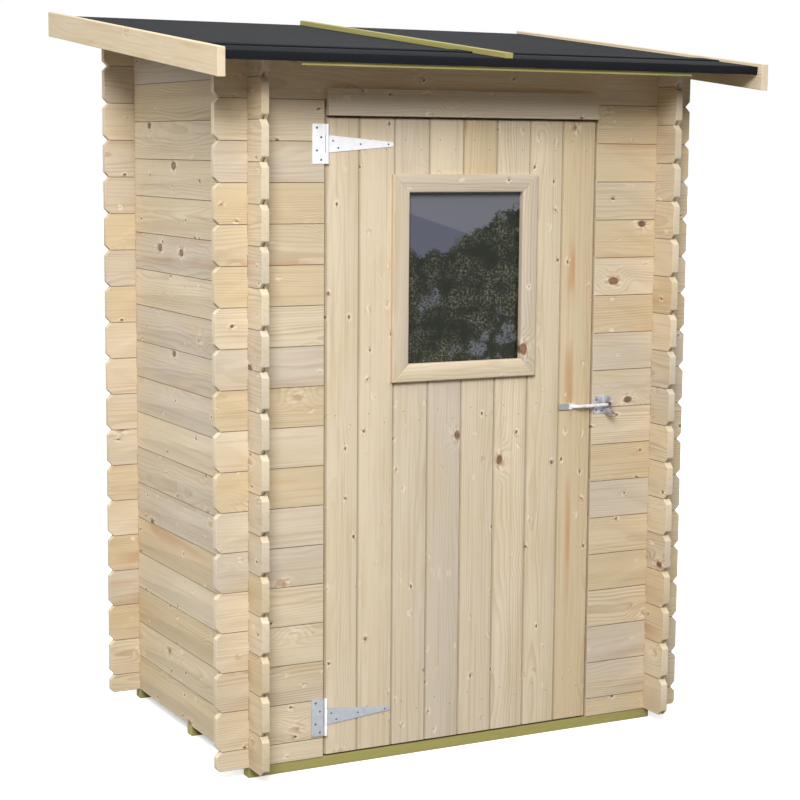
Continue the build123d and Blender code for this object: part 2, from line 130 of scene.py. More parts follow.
# A screw head's dome and cross, as shares of its radius and its rise
DOME = ((1.0, -1.0), (1.0, 0.25), (0.86, 0.72), (0.55, 1.0))
CROSS_LONG = 0.52
CROSS_WIDE = 0.13
CROSS_DEPTH = 0.24
CROSS_LEVEL = 0.95

# Two nails through a board, as a share of its width and metres off the ledge's middle, how
# far they keep from the board's ends, and a nail head's edge, top and sides
NAIL_PAIR = ((0.28, 0.012), (0.72, -0.012))
NAIL_MARGIN = 0.02
NAIL_EDGE = 0.0001
NAIL_TOP = 0.0004
NAIL_SIDES = 12

# About how wide the brace's level ends are
BRACE_END = 0.09

# Factors that turn a piece's one lot into three that don't follow each other
LOT_FACTORS = (7.31, 13.73, 29.17)

# Rings, in metres: how far their heart may lie to either side and below the board, how
# much it wanders, and how far a knot pushes them aside
HEART_SPREAD = 0.16
HEART_DEPTH = 0.10
HEART_LEAST = 0.018
RING_WANDER = 0.030
RING_PUSH = 0.014

# Knots and pin knots: cells of their pattern per metre along, across and through a board,
# how far their outlines bend, and where the pin knots' pattern lies
KNOT_CELLS = (5.4, 8.0, 2.0)
PIN_CELLS = (15.0, 21.0, 2.0)
KNOT_BEND = (0.008, 0.006, 0.006)
PIN_OFFSET = (3.7, 1.9, 0.4)
PIN_CHANCE = 0.85

# Distances from a knot's heart, as shares of its cell, between which each zone fades in,
# and what a board without knots adds to them
KNOT_PUSH = (0.36, 0.04)
KNOT_PALE = (0.24, 0.09)
KNOT_TAN = (0.17, 0.09)
KNOT_BARK = (0.100, 0.070)
KNOT_HEART = (0.095, 0.060)
HEART_INSIDE = (0.030, 0.060)
PIN_PALE = (0.24, 0.10)
PIN_TAN = (0.24, 0.12)
PIN_HEART = (0.090, 0.060)
NO_KNOT = 2.0

# The stage: rays that see the pale backdrop, the lamps' places and sizes, and the floor
SEEN_RAYS = ("Is Camera Ray", "Is Glossy Ray", "Is Transmission Ray")
LAMPS = {
    "key": ((-2.9, -4.9, 4.5), 2.7),
    "side": ((-5.0, 0.2, 3.2), 3.0),
    "back": ((2.6, 5.4, 1.5), 3.0),
}
LAMP_TARGET = Vector((0, 0, 0.9))
FLOOR_RADIUS = 60.0
FLOOR_SINK = 0.0004
SENSOR_WIDTH = 36.0


def paint(red, green, blue):
    """A display colour out of 255 as the linear colour that shaders take."""
    parts = []
    for value in (red, green, blue):
        part = value / 255
        low = part / 12.92
        high = ((part + 0.055) / 1.055) ** 2.4
        parts.append(low if part <= 0.04045 else high)
    return (*parts, 1.0)


def colour(name, description, red, green, blue):
    """A colour property with its default as a display colour."""
    return FloatVectorProperty(name=name, description=description, subtype="COLOR", size=4,
                               min=0.0, max=1.0, default=paint(red, green, blue))


def length(name, description, default):
    """A length property in metres."""
    return FloatProperty(name=name, description=description, default=default, min=0.0,
                         unit="LENGTH", precision=5)


def share(name, description, default):
    """A plain factor property."""
    return FloatProperty(name=name, description=description, default=default, min=0.0)


def angle(name, description, degrees):
    """An angle property with its default in degrees."""
    return FloatProperty(name=name, description=description, subtype="ANGLE",
                         default=math.radians(degrees))


class TimberSettings(bpy.types.PropertyGroup):
    """Colours and sizes of the planed spruce and the treated timber."""

    pale: colour("Pale spruce", "Lightest boards", 225, 209, 182)
    warm: colour("Warm spruce", "Yellowish boards", 214, 195, 160)
    grey: colour("Grey spruce", "Cooler, slightly grey boards", 207, 195, 178)
    late_wood: colour("Late wood", "Darker line of each growth ring", 160, 128, 88)
    resin: colour("Resin streak", "Reddish streaks along the grain", 190, 146, 102)
    knot: colour("Knot", "Heart of a knot", 116, 70, 40)
    knot_rim: colour("Knot rim", "Dark bark round a knot", 60, 40, 28)
    tan: colour("Knot tan", "Reddish wood close round a knot", 182, 134, 94)
    halo: colour("Knot halo", "Pale wood turned round a knot", 238, 226, 202)
    joint: colour("Joint", "Shadowed arris between boards", 98, 78, 54)
    treated: colour("Treated green", "Pressure-treated timber", 166, 158, 92)
    treated_dark: colour("Treated dark", "Late wood of treated timber", 110, 102, 54)
    # Painted light: under the eave the batten lies in shade, and this paler tone shows it as lit
    batten_painted_light: colour("Treated pale", "Freshly treated eave batten", 214, 204, 140)
    ring_spacing: length("Ring spacing", "Distance between growth rings", 0.0042)
    rounding: length("Edge rounding", "Radius of the planed arrises", 0.0011)
    slit_width: length("Slit width", "Groove seen at a log's end", 0.0042)
    slit_height: length("Slit height", "How high that groove runs", 0.0095)


class SteelSettings(bpy.types.PropertyGroup):
    """Colours and sizes of the hinges, the latch and the fixings."""

    bright: colour("Bright zinc", "Galvanised hinge steel", 246, 247, 250)
    # Painted shade: the lower hinge is the same bright zinc as the upper one, painted darker and
    # blue-grey
    blue: colour("Blue zinc", "Cooler steel of the lower hinge", 176, 181, 188)
    shaded_zinc_patches: colour("Dull blue zinc", "Patches in the cooler steel", 160, 165, 174)
    dull: colour("Dull zinc", "Patches in the galvanising", 232, 235, 240)
    latch: colour("Latch steel", "Striker and catch", 158, 158, 164)
    grip: colour("Grip steel", "Flattened end of the striker", 150, 152, 150)
    pawl: colour("Pawl steel", "Darker hanging tail", 130, 112, 92)
    screw: colour("Screw head", "Screws of the hinges and the latch", 104, 106, 112)
    # Painted shade: the dark tone that the hollow of a drive recess shows
    slot: colour("Drive recess", "Dark recess in a screw head", 34, 33, 34)
    nail: colour("Nail head", "Small nail sunk in the wood", 120, 104, 84)
    screw_radius: length("Screw head radius", "Radius of a screw head", 0.0028)
    screw_rise: length("Screw head rise", "How far a head stands proud", 0.0011)
    nail_radius: length("Nail head radius", "Radius of a nail head", 0.0013)


class CoverSettings(bpy.types.PropertyGroup):
    """Colours of the roofing felt and of the painted reflection on the window glass."""

    felt: colour("Felt", "Charcoal mineral felt", 20, 22, 26)
    felt_light: colour("Felt granules", "Lighter granules", 40, 42, 47)
    # The pane's tones are a painted reflection of the garden, not colours of the glass
    sky_reflection: colour("Pane, sky", "Slate tone of the pane's upper part", 108, 110, 120)
    hill_reflection: colour("Pane, hill", "Darker slope below that", 88, 91, 106)
    dark_tree_reflection: colour("Pane, shade", "Dark tone of the pane's lower part", 26, 30, 18)
    leaf_reflection: colour("Pane, leaves", "Lighter mottling of the pane", 116, 120, 98)


class StageSettings(bpy.types.PropertyGroup):
    """Camera, floor and light."""

    place: FloatVectorProperty(name="Camera place", description="Where the camera stands",
                               size=3, subtype="TRANSLATION", unit="LENGTH",
                               default=(-2.3340, -4.5058, 1.5009))
    yaw: angle("Yaw", "Turn to the right of straight in", 27.595)
    dip: angle("Dip", "Tilt below the horizon", 7.446)
    roll: angle("Roll", "Roll of the picture", -0.446)
    lens: FloatProperty(name="Lens", description="Focal length in millimetres",
                        default=86.95, min=1.0)
    overhead: share("Overhead strength", "Light of the sky overhead", 1.35)
    horizon: share("Horizon strength", "Light of the sky near the horizon", 0.02)
    key: share("Key power", "Power of the large lamp in front, in watts", 388.0)
    back: share("Back power", "Power of the lamp behind, in watts", 90.0)
    side: share("Side power", "Power of the lamp at the left, in watts", 56.0)
    floor: colour("Floor", "Plain pale floor", 240, 240, 240)
    bounce: colour("Bounce", "Light that the floor sends back up", 76, 75, 73)
    glow: share("Floor glow", "Light added where the camera sees the floor", 0.50)


class Value:
    """A shader socket that Python's operators work on."""

    def __init__(self, graph, socket):
        self.graph = graph
        self.socket = socket

    def __add__(self, other):
        return self.graph.maths("ADD", self, other)

    def __radd__(self, other):
        return self.graph.maths("ADD", other, self)

    def __sub__(self, other):
        return self.graph.maths("SUBTRACT", self, other)

    def __rsub__(self, other):
        return self.graph.maths("SUBTRACT", other, self)

    def __mul__(self, other):
        return self.graph.maths("MULTIPLY", self, other)

    def __rmul__(self, other):
        return self.graph.maths("MULTIPLY", other, self)

    def __truediv__(self, other):
        return self.graph.maths("DIVIDE", self, other)

    def __rtruediv__(self, other):
        return self.graph.maths("DIVIDE", other, self)

    def fraction(self):
        return self.graph.maths("FRACT", self)

    def most(self, other):
        return self.graph.maths("MAXIMUM", self, other)

    def root(self):
        return self.graph.maths("SQRT", self)

    def ramp(self, low, high):
        """0 below low, 1 above high, and smooth between; low may be the larger."""
        return self.graph.add(
            "ShaderNodeMapRange",
            {0: self, 1: low, 2: high, 3: 0.0, 4: 1.0},
            interpolation_type="SMOOTHSTEP",
        )


class Graph:
    """The nodes of one material or world, with one method that adds any of them."""

    def __init__(self, owner):
        owner.use_nodes = True
        self.owner = owner
        self.tree = owner.node_tree
        self.tree.nodes.clear()

    def add(self, kind, inputs=None, output=0, **settings):
        """Add a node: its settings first, then the values or links of its sockets."""
        node = self.tree.nodes.new(kind)
        for key, value in settings.items():
            setattr(node, key, value)
        for key, value in (inputs or {}).items():
            if isinstance(value, Value):
                self.tree.links.new(value.socket, node.inputs[key])
            else:
                node.inputs[key].default_value = value
        return Value(self, node.outputs[output]) if len(node.outputs) else None

    def maths(self, operation, *values):
        """Arithmetic on values and plain numbers."""
        return self.add("ShaderNodeMath", dict(enumerate(values)), operation=operation)

    def mix(self, share_of_second, first, second):
        """Mix two colours; sockets 6 and 7 and output 2 are the node's colour ones."""
        return self.add("ShaderNodeMix", {0: share_of_second, 6: first, 7: second}, 2,
                        data_type="RGBA", clamp_factor=True)

    def vector(self, operation, first, second):
        """Vector arithmetic on two vectors."""
        return self.add("ShaderNodeVectorMath", {0: first, 1: second}, operation=operation)

    def noise(self, place, scale, detail=2.0, rough=0.5, twist=0.0, output="Fac"):
        return self.add("ShaderNodeTexNoise", {
            "Vector": place, "Scale": scale, "Detail": detail, "Roughness": rough,
            "Distortion": twist}, output)

    def stretched(self, place, stretch, detail=2.0, rough=0.5):
        """Noise with its own frequency along each of the three axes."""
        return self.noise(self.vector("MULTIPLY", place, stretch), 1.0, detail, rough)

    def object_place(self):
        """Where the shaded point is, in the piece's own coordinates."""
        return self.add("ShaderNodeTexCoord", {}, "Object")

    def stored(self, name, output="Fac"):
        """A value that was stored on the mesh when the piece was made."""
        return self.add("ShaderNodeAttribute", {}, output, attribute_name=name)

    def seen(self):
        """1 for the rays that show the backdrop, 0 for those that only carry light."""
        node = self.add("ShaderNodeLightPath").socket.node
        camera, *others = [Value(self, node.outputs[kind]) for kind in SEEN_RAYS]
        for other in others:
            camera = camera.most(other)
        return camera

    def parts(self, vector):
        """The three numbers of a vector."""
        node = self.add("ShaderNodeSeparateXYZ", {0: vector}).socket.node
        return [Value(self, node.outputs[axis]) for axis in range(3)]

    def join(self, x, y, z):
        return self.add("ShaderNodeCombineXYZ", {0: x, 1: y, 2: z})

    def blend(self, share_of_second, first, second):
        """Mix two shaders."""
        return self.add("ShaderNodeMixShader", {0: share_of_second, 1: first, 2: second})

    def finish(self, height=None, depth=0.0, strength=0.0, **surface):
        """The shader itself; height feeds a bump."""
        inputs = {key.replace("_", " "): value for key, value in surface.items()}
        if height is not None:
            inputs["Normal"] = self.add("ShaderNodeBump", {
                "Height": height, "Distance": depth, "Strength": strength})
        return self.close(self.add("ShaderNodeBsdfPrincipled", inputs))

    def close(self, shader, kind="ShaderNodeOutputMaterial"):
        """Join the last shader to the output."""
        self.add(kind, {"Surface": shader})
        return self.owner


def new_graph(name):
    """A graph for a material of its own."""
    return Graph(bpy.data.materials.new(name))


def knots(graph, place, cells, chance):
    """Distance from the nearest knot's heart, large where the board has none."""
    bend = graph.noise(place, 70.0, output="Color")
    bent = graph.vector("ADD", place, graph.vector("MULTIPLY", bend, KNOT_BEND))
    spot = graph.vector("MULTIPLY", bent, cells)
    distance = graph.add("ShaderNodeTexVoronoi", {"Vector": spot, "Scale": 1.0}, "Distance")
    lot = graph.parts(Value(graph, distance.socket.node.outputs["Color"]))[0]
    return distance + lot.ramp(chance, chance + 0.02) * NO_KNOT


def growth_rings(graph, place, luck, fate, near_knot, spacing):
    """Late wood of rings round a wandering heart, which a knot pushes aside."""
    y, z = graph.parts(place)[1:]
    wander = graph.stretched(place, (2.2, 10.0, 10.0))
    away_y = y - (luck - 0.5) * HEART_SPREAD
    away_z = z + fate * HEART_DEPTH + HEART_LEAST
    spread = (away_y * away_y + away_z * away_z).root()
    pushed = near_knot.ramp(*KNOT_PUSH) * RING_PUSH
    phase = ((spread + (wander - 0.5) * RING_WANDER + pushed) / spacing).fraction()
    return phase.ramp(0.30, 0.92) * phase.ramp(1.0, 0.93)


def early_wood(graph, place, luck, fate, tones):
    """The tone between the rings: a lot for each piece, and slow changes within it."""
    cloud = graph.stretched(place, (4.0, 14.0, 14.0), 3.0)
    pale, warm, grey = tones
    body = graph.mix(luck.ramp(0.30, 0.80), pale, warm)
    body = graph.mix(fate.ramp(0.50, 0.85) * 0.9, body, grey)
    body = graph.mix(cloud.ramp(0.40, 0.70) * 0.45, body, warm)
    return graph.mix(cloud.ramp(0.48, 0.25) * 0.30, body, pale)


def resin_streaks(graph, place, luck):
    """Reddish streaks that break off along the grain, in some pieces only."""
    line = graph.stretched(place, (0.9, 34.0, 8.0), 1.0)
    broken = graph.stretched(place, (4.5, 9.0, 9.0))
    return line.ramp(0.52, 0.72) * luck.ramp(0.30, 0.80) * broken.ramp(0.38, 0.66)


def knot_tones(graph, settings, place, body, near_knot, pin_knot, chance, pale_share):
    """Knots on a board: pale turned wood, a dark ring of bark and a brown heart."""
    fleck = graph.stretched(place, (60.0, 130.0, 130.0))
    turned = near_knot.ramp(*KNOT_PALE) * fleck.ramp(0.42, 0.62)
    turned = turned.most(pin_knot.ramp(*PIN_PALE) * fleck.ramp(0.42, 0.54))
    body = graph.mix(turned * 0.70 * pale_share, body, settings.halo)
    tan = near_knot.ramp(*KNOT_TAN) * fleck.ramp(0.60, 0.40) * 0.55
    body = graph.mix(tan, body, settings.tan)
    pin_tan = pin_knot.ramp(*PIN_TAN) * fleck.ramp(0.52, 0.40) * 0.40
    body = graph.mix(pin_tan, body, settings.tan)
    heart = near_knot.ramp(*KNOT_HEART)
    bark = near_knot.ramp(*KNOT_BARK) * near_knot.ramp(*HEART_INSIDE)
    pin = pin_knot.ramp(*PIN_HEART)
    body = graph.mix(heart * 0.80, body, settings.knot)
    body = graph.mix(bark * fleck.ramp(0.35, 0.60) * 0.75, body, settings.knot_rim)
    body = graph.mix(pin * 0.85, body, graph.mix(chance, settings.knot, settings.knot_rim))
    return body, heart.most(pin)


def timber_material(name, settings, tones, late, joint, knot_chance=0.75, resin=1.0):
    """Planed softwood: rings, fibres, knots, resin streaks and a tone for each piece."""
    graph = new_graph(name)
    place = graph.stored("grain", "Vector")
    piece = graph.stored("piece")
    luck, fate, chance = [(piece * factor).fraction() for factor in LOT_FACTORS]
    near_knot = knots(graph, place, KNOT_CELLS, knot_chance)
    aside = graph.vector("ADD", place, PIN_OFFSET)
    pin_knot = knots(graph, aside, PIN_CELLS, knot_chance * PIN_CHANCE)

    ring = growth_rings(graph, place, luck, fate, near_knot, settings.ring_spacing)
    band = graph.stretched(place, (0.7, 26.0, 26.0), 3.0)
    ring_show = ring * (band.ramp(0.30, 0.72) * 0.75 + 0.25) * (chance * 0.75 + 0.25)
    fibre = graph.stretched(place, (14.0, 620.0, 620.0), 3.0, 0.6)
    streak = graph.stretched(place, (2.2, 120.0, 120.0))

    body = early_wood(graph, place, luck, fate, tones)
    body = graph.mix(ring_show * 0.55, body, late)
    body = graph.mix(streak.ramp(0.50, 0.75) * 0.24, body, late)
    body = graph.mix(fibre.ramp(0.52, 0.75) * 0.20, body, late)
    body = graph.mix(resin_streaks(graph, place, luck) * resin * 0.60, body, settings.resin)
    body, dark = knot_tones(graph, settings, place, body, near_knot, pin_knot, chance,
                            min(resin, 1.0))
    body = graph.mix(graph.stored("end_grain") * 0.20, body, settings.halo if resin else tones[0])
    # Painted shade: the rounded long edges where boards meet are darkened towards the joint tone
    body = graph.mix(graph.stored("crease"), body, joint)

    rough = ring_show * 0.08 + fibre * 0.14 + 0.54 - dark * 0.12
    height = fibre * 0.30 + ring_show * 0.35 - dark * 0.5
    return graph.finish(height, depth=0.0005, strength=0.5, Base_Color=body, Roughness=rough)


def treated_material(name, settings, main, second, late):
    """Pressure-treated softwood, without knots or resin."""
    return timber_material(name, settings, (main, main, second), late, settings.treated_dark,
                           knot_chance=0.0, resin=0.0)


def spruce_material(name, settings, **options):
    """Planed spruce in its three tones."""
    return timber_material(name, settings, (settings.pale, settings.warm, settings.grey),
                           settings.late_wood, settings.joint, **options)


def felt_material(settings):
    """Charcoal felt with fine mineral granules and faint unevenness."""
    graph = new_graph("Mineral roofing felt")
    place = graph.object_place()
    grit = graph.noise(place, 900.0, 2.0, 0.7)
    patch = graph.noise(place, 5.0, 3.0)
    tone = graph.mix(grit.ramp(0.42, 0.78) * 0.6, settings.felt, settings.felt_light)
    tone = graph.mix(patch.ramp(0.35, 0.75) * 0.22, tone, settings.felt_light)
    ripple = graph.noise(place, 7.0)
    return graph.finish(grit * 0.4 + ripple * 6.0, depth=0.0006, strength=0.6, Base_Color=tone,
                        Roughness=grit * 0.12 + 0.78, Specular_IOR_Level=0.12)


def steel_material(name, light, dark, metallic, rough, accent=None, axis=0, edge=0.0):
    """Galvanised steel; before an edge along one axis it can take another tone."""
    graph = new_graph(name)
    place = graph.object_place()
    patch = graph.noise(place, 60.0)
    scratch = graph.stretched(place, (60.0, 900.0, 1600.0))
    tone = graph.mix(patch.ramp(0.35, 0.75) * 0.6, light, dark)
    if accent:
        along = graph.parts(place)[axis]
        tone = graph.mix(along.ramp(edge + 0.001, edge - 0.001), tone, accent)
    worn = patch * 0.16 + scratch * 0.08 + rough
    return graph.finish(scratch * 0.4 + patch, depth=0.0002, strength=0.35, Base_Color=tone,
                        Metallic=metallic, Roughness=worn)


def plain_material(name, tone, rough, metallic=0.0):
    """A small fixing's finish, with a little grime."""
    graph = new_graph(name)
    grime = graph.noise(graph.object_place(), 700.0)
    dirty = (*(0.6 * part for part in tone[:3]), 1.0)
    shade = graph.mix(grime.ramp(0.45, 0.75) * 0.35, tone, dirty)
    return graph.finish(Base_Color=shade, Roughness=grime * 0.1 + rough, Metallic=metallic)


def glass_material(settings, low, high):
    """A glossy pane with a painted reflection of sky, a slope and a tree's leaves, as a garden
    would be seen in it.
    """
    graph = new_graph("Window pane")
    x, z = graph.parts(graph.object_place())[::2]
    u = (x - low.x) / (high.x - low.x)
    v = (z - low.z) / (high.z - low.z)
    flat = graph.join(u * 0.30, 0.0, v * 0.42)
    leaf = graph.noise(flat, 170.0, 3.0, 0.75, 0.3)
    clump = graph.noise(flat, 17.0, 3.0, 0.6)
    mass = graph.noise(flat, 7.0)
    crown = u.ramp(0.30, 0.95) * 0.25 + 0.66 + (clump - 0.5) * 0.30 + (leaf - 0.5) * 0.16
    slope = (0.88 - u * 0.24 - v).ramp(-0.004, 0.004)
    sky = graph.mix(slope, settings.sky_reflection, settings.hill_reflection)
    light = leaf.ramp(0.44, 0.64) * clump.ramp(0.36, 0.66)
    leaves = graph.mix(light * 0.85, settings.dark_tree_reflection, settings.leaf_reflection)
    leaves = graph.mix(mass.ramp(0.40, 0.65) * 0.35, leaves, settings.dark_tree_reflection)
    gap = mass.ramp(0.54, 0.60) * clump.ramp(0.50, 0.58) * leaf.ramp(0.40, 0.50)
    leaves = graph.mix(gap * 0.8, leaves, settings.sky_reflection)
    tone = graph.mix((crown - v).ramp(-0.012, 0.012), sky, leaves)
    return graph.finish(Base_Color=tone, Roughness=clump * 0.02 + 0.06,
                        Specular_IOR_Level=0.22)


def flatten(shape):
    """Make each flat face whole."""
    bmesh.ops.dissolve_limit(shape, angle_limit=FLAT_ANGLE, verts=shape.verts,
                             edges=shape.edges, use_dissolve_boundaries=False)


def solid_copy(node):
    """The node's shape with its doubled corners merged and its flat faces whole."""
    shape = bmesh.new()
    shape.from_mesh(nodes[node].data)
    bmesh.ops.remove_doubles(shape, verts=shape.verts, dist=MERGE_DISTANCE)
    flatten(shape)
    bmesh.ops.recalc_face_normals(shape, faces=shape.faces)
    return shape


def islands(shape):
    """The separate solids of a shape, as lists of faces."""
    left = set(shape.faces)
    found = []
    for first in shape.faces:
        if first not in left:
            continue
        left.discard(first)
        group, queue = [first], [first]
        while queue:
            face = queue.pop()
            for edge in face.edges:
                for other in edge.link_faces:
                    if other in left:
                        left.discard(other)
                        group.append(other)
                        queue.append(other)
        found.append(group)
    return found


def box_round(points):
    """The lowest and the highest corner of the box round some points."""
    low = Vector([min(point[axis] for point in points) for axis in range(3)])
    high = Vector([max(point[axis] for point in points) for axis in range(3)])
    return low, high


def boxes(shape):
    """The box round each separate solid."""
    return [box_round([vertex.co for face in group for vertex in face.verts])
            for group in islands(shape)]


def boxes_of(node):
    """The box round each solid of a node."""
    shape = solid_copy(node)
    found = boxes(shape)
    shape.free()
    return found


def round_edges(shape, radius):
    """Round every outward edge that is sharp enough."""
    sharp = [edge for edge in shape.edges
             if len(edge.link_faces) == 2 and edge.is_convex
             and edge.calc_face_angle(0.0) > SHARP_ANGLE]
    bmesh.ops.bevel(shape, geom=sharp, offset=radius, segments=2, profile=0.5,
                    affect="EDGES", clamp_overlap=True)


def mark_timber(shape, grain, outward, name, joint_shade):
    """Store each piece's place along the grain, its lot, the painted shade on its joint edges and
    its ends.
    """
    turn = Matrix((grain, outward.cross(grain), outward))
    place = shape.verts.layers.float_vector.new("grain")
    piece = shape.faces.layers.float.new("piece")
    crease = shape.faces.layers.float.new("crease")
    end = shape.faces.layers.float.new("end_grain")
    for number, group in enumerate(islands(shape)):
        lots = random.Random(f"{name} {number}")
        lot = lots.random()
        shift = Vector((lots.uniform(0, 40), 0, 0))
        corners = {vertex for face in group for vertex in face.verts}
        turned = {vertex: turn @ vertex.co for vertex in corners}
        low, high = box_round(turned.values())
        middle = (low + high) / 2
        flip = -1.0 if lots.random() < 0.5 else 1.0
        for vertex, point in turned.items():
            local = point - middle
            local.y *= flip
            vertex[place] = local + shift
        for face in group:
            along, across, out = [abs(part) for part in turn @ face.normal]
            arris = min(across, out) > ARRIS_LEAN > along
            face[piece] = lot
            face[end] = 1.0 if along > END_LEAN else 0.0
            face[crease] = joint_shade if arris else 0.0


def make_piece(shape, name, body, slot, material, smooth=None, replaced=()):
    """Turn a shape into an object that rides on a body and stands for CAD nodes."""
    mesh = bpy.data.meshes.new(name)
    shape.to_mesh(mesh)
    shape.free()
    mesh.materials.append(material)
    if smooth:
        mesh.shade_smooth()
        mesh.set_sharp_from_angle(angle=math.radians(smooth))
    piece = bpy.data.objects.new(name, mesh)
    bpy.context.scene.collection.objects.link(piece)
    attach(piece, body)
    if replaced:
        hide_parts(*replaced)


def body_of(node):
    return nodes[node]["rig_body"]


def slot_of(node):
    for part in frame["record"]["subparts"]:
        if part["node"] == node:
            return part["material_slot"]
    raise ValueError(f"no slot for {node}")


def stand_in(shape, node, ending, material, smooth):
    """A shape as the piece that stands for its node."""
    make_piece(shape, f"{node}_{ending}", body_of(node), slot_of(node), material,
               smooth=smooth, replaced=(node,))


def plain_piece(node, ending, material, rounding=0.0):
    """A node of steel or felt, with its edges rounded."""
    shape = solid_copy(node)
    if rounding:
        round_edges(shape, rounding)
    stand_in(shape, node, ending, material, SMOOTH_SHEET)


def planed_piece(shape, node, grain, outward, material, rounding, joint_shade):
    """Give a shape planed arrises and its own grain, as the piece for its node."""
    round_edges(shape, rounding)
    mark_timber(shape, grain, outward, node, joint_shade)
    stand_in(shape, node, "timber", material, SMOOTH_TIMBER)


def timber(node, grain, outward, material, rounding, joint_shade=0.0):
    """A timber node with planed arrises and its own grain."""
    planed_piece(solid_copy(node), node, grain, outward, material, rounding, joint_shade)


def add_box(shape, low, high):
    """An upright box between two corners."""
    size = [b - a for a, b in zip(low, high)]
    middle = [(a + b) / 2 for a, b in zip(low, high)]
    matrix = Matrix.Translation(middle) @ Matrix.Diagonal((*size, 1.0))
    bmesh.ops.create_cube(shape, size=1.0, matrix=matrix)


def cut(shape, cutter):
    """The shape with another shape taken out of it."""
    holders = []
    for source in (shape, cutter):
        mesh = bpy.data.meshes.new("cutting")
        source.to_mesh(mesh)
        source.free()
        holder = bpy.data.objects.new("cutting", mesh)
        bpy.context.scene.collection.objects.link(holder)
        holders.append(holder)
    step = holders[0].modifiers.new("cut", "BOOLEAN")
    step.operation = "DIFFERENCE"
    step.solver = "EXACT"
    step.object = holders[1]
    graph = bpy.context.evaluated_depsgraph_get()
    result = bpy.data.meshes.new_from_object(holders[0].evaluated_get(graph))
    fresh = bmesh.new()
    fresh.from_mesh(result)
    for holder in holders:
        mesh = holder.data
        bpy.data.objects.remove(holder)
        bpy.data.meshes.remove(mesh)
    bpy.data.meshes.remove(result)
    return fresh


def log_reach(run):
    """How far the log ends stand from the middle of the model, along X or Y."""
    if run == 0:
        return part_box("back_wall_logs_odd")[1].x
    return (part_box("left_wall_logs_odd")[1].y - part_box("left_wall_logs_odd")[0].y) / 2


def end_slits(shape, along, settings):
    """Upright slits at the foot of every projecting log end, to be cut out of the logs."""
    slits = bmesh.new()
    run = 0 if along is ACROSS else 1
    flat = 1 - run
    for low, high in boxes(shape):
        middle = (low[flat] + high[flat]) / 2
        for end, inward in ((low[run], 1), (high[run], -1)):
            if abs(abs(end) - log_reach(run)) > END_TOLERANCE:
                continue
            start, stop = sorted((end - inward * SLIT_OVERRUN, end + inward * SLIT_REACH))
            slit_low = [0, 0, low.z - SLIT_OVERRUN]
            slit_high = [0, 0, low.z + settings.slit_height]
            slit_low[run], slit_high[run] = start, stop
            slit_low[flat] = middle - settings.slit_width / 2
            slit_high[flat] = middle + settings.slit_width / 2
            add_box(slits, slit_low, slit_high)
    return slits


def log_wall(node, along, outward, material, settings):
    """A node of logs, with the slit of the groove cut into each projecting end."""
    shape = solid_copy(node)
    shape = cut(shape, end_slits(shape, along, settings))
    flatten(shape)
    planed_piece(shape, node, along, outward, material, settings.rounding, LOG_JOINT_SHADE)


def lathe(shape, profile, matrix, sides=20):
    """A turned form: (radius, height) points spun round the matrix's own Z axis."""
    rings = []
    for radius, height in profile:
        ring = []
        for step in range(sides):
            turn = 2 * math.pi * step / sides
            point = Vector((radius * math.cos(turn), radius * math.sin(turn), height))
            ring.append(shape.verts.new(matrix @ point))
        rings.append(ring)
    for below, above in zip(rings, rings[1:]):
        for step in range(sides):
            after = (step + 1) % sides
            shape.faces.new((below[step], below[after], above[after], above[step]))
    shape.faces.new(reversed(rings[0]))
    shape.faces.new(rings[-1])


def facing(point, direction):
    """A matrix at a point whose own Z axis runs in a direction."""
    turn = Vector(direction).to_track_quat("Z", "Y").to_matrix().to_4x4()
    return Matrix.Translation(point) @ turn


def screw_heads(name, places, body, slot, settings, material, recess, size=1.0):
    """Domed screw heads with a cross recess, facing the front; the recess is a dark cross of
    painted shade.
    """
    radius = settings.screw_radius * size
    rise = settings.screw_rise
    dome = [(radius * out, rise * up) for out, up in DOME]
    heads, crosses = bmesh.new(), bmesh.new()
    for number, place in enumerate(places):
        matrix = facing(place, -DEEP)
        lathe(heads, dome, matrix)
        spin = Matrix.Rotation(random.Random(f"{name} {number}").uniform(0, 1.5), 4, "Z")
        lift = Matrix.Translation((0, 0, rise * CROSS_LEVEL))
        for x, y in ((CROSS_LONG, CROSS_WIDE), (CROSS_WIDE, CROSS_LONG)):
            bar = Matrix.Diagonal((2 * x * radius, 2 * y * radius, rise * CROSS_DEPTH, 1.0))
            bmesh.ops.create_cube(crosses, size=1.0, matrix=matrix @ spin @ lift @ bar)
    make_piece(heads, name, body, slot, material, smooth=SMOOTH_TURNED)
    make_piece(crosses, name + "_recess", body, slot, recess)


def nail_heads(name, places, body, slot, settings, material):
    """Small flat nail heads, facing the front."""
    heads = bmesh.new()
    radius = settings.nail_radius
    profile = [(radius, -radius), (radius, NAIL_EDGE), (radius * 0.7, NAIL_TOP)]
    for place in places:
        lathe(heads, profile, facing(place, -DEEP), NAIL_SIDES)
    make_piece(heads, name, body, slot, material, smooth=SMOOTH_TURNED)


class SHED_OT_log_walls(bpy.types.Operator):
    """Finish the four walls of interlocking logs"""

    bl_idname = "shed.log_walls"
    bl_label = "Log walls"

    def execute(self, context):
        settings = context.scene.shed_timber
        spruce = spruce_material("Planed spruce logs", settings)
        walls = (("front_wall_left", ACROSS, -DEEP), ("front_wall_right", ACROSS, -DEEP),
                 ("back_wall", ACROSS, DEEP), ("left_wall", DEEP, -ACROSS),
                 ("right_wall", DEEP, ACROSS))
        for count in ("odd", "even"):
            for wall, along, outward in walls:
                log_wall(f"{wall}_logs_{count}", along, outward, spruce, settings)
        log_wall("front_wall_top_log", ACROSS, -DEEP, spruce, settings)
        return {"FINISHED"}


